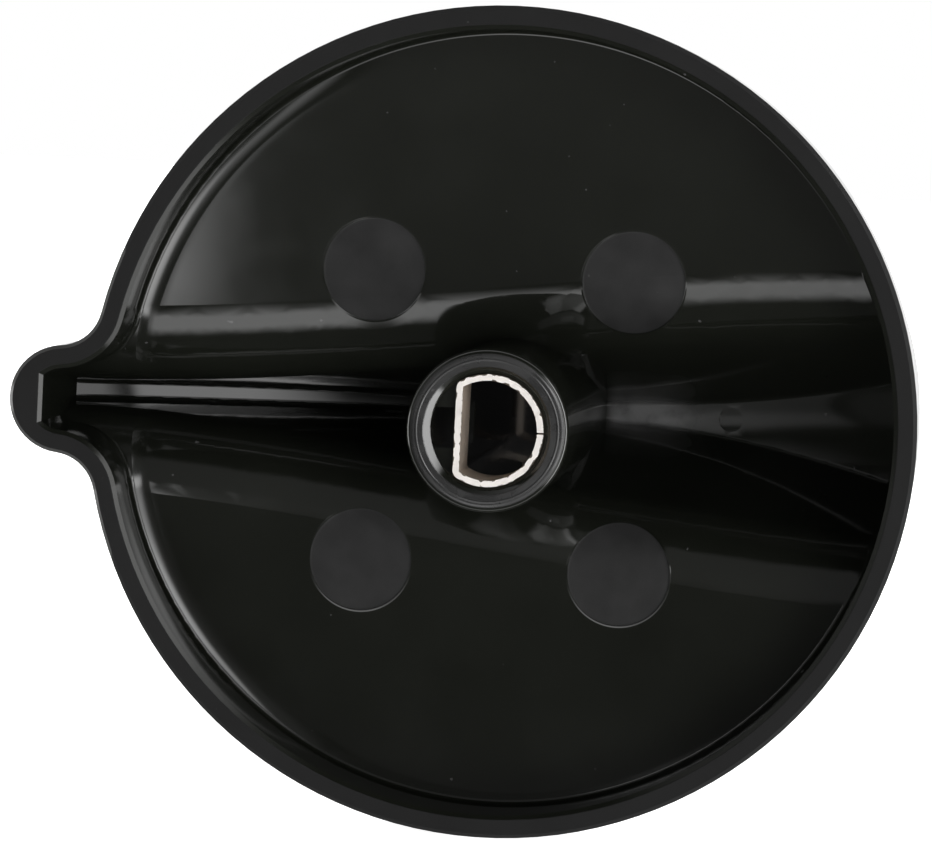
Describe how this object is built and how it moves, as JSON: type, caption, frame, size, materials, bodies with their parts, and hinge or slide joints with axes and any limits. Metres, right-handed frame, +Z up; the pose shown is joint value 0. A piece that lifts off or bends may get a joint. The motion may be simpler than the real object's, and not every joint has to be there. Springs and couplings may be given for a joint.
{
  "type": "stove knob",
  "caption": "Round stove knob with an arched, tapered grip that runs out past the skirt as a pointer, hollow behind, with a stem and D-shaped spring sleeve for the shaft.",
  "frame": {"origin": "on the shaft axis, in the plane of the skirt's back rim", "axes": "+Y along the shaft, out of the stem's mouth towards the stove; -Y is the front with the grip; +X towards the pointer; +Z up"},
  "size_m": [0.057, 0.0276, 0.052],
  "materials": {
    "black_plastic": "black moulded plastic, glossy inside the hollow, satin on the rim",
    "spring_steel": "bare spring steel sheet with sheared edges"
  },
  "bodies": {
    "root": {"knob_body": "black_plastic", "shaft_clip": "spring_steel"}
  },
  "joints": []
}
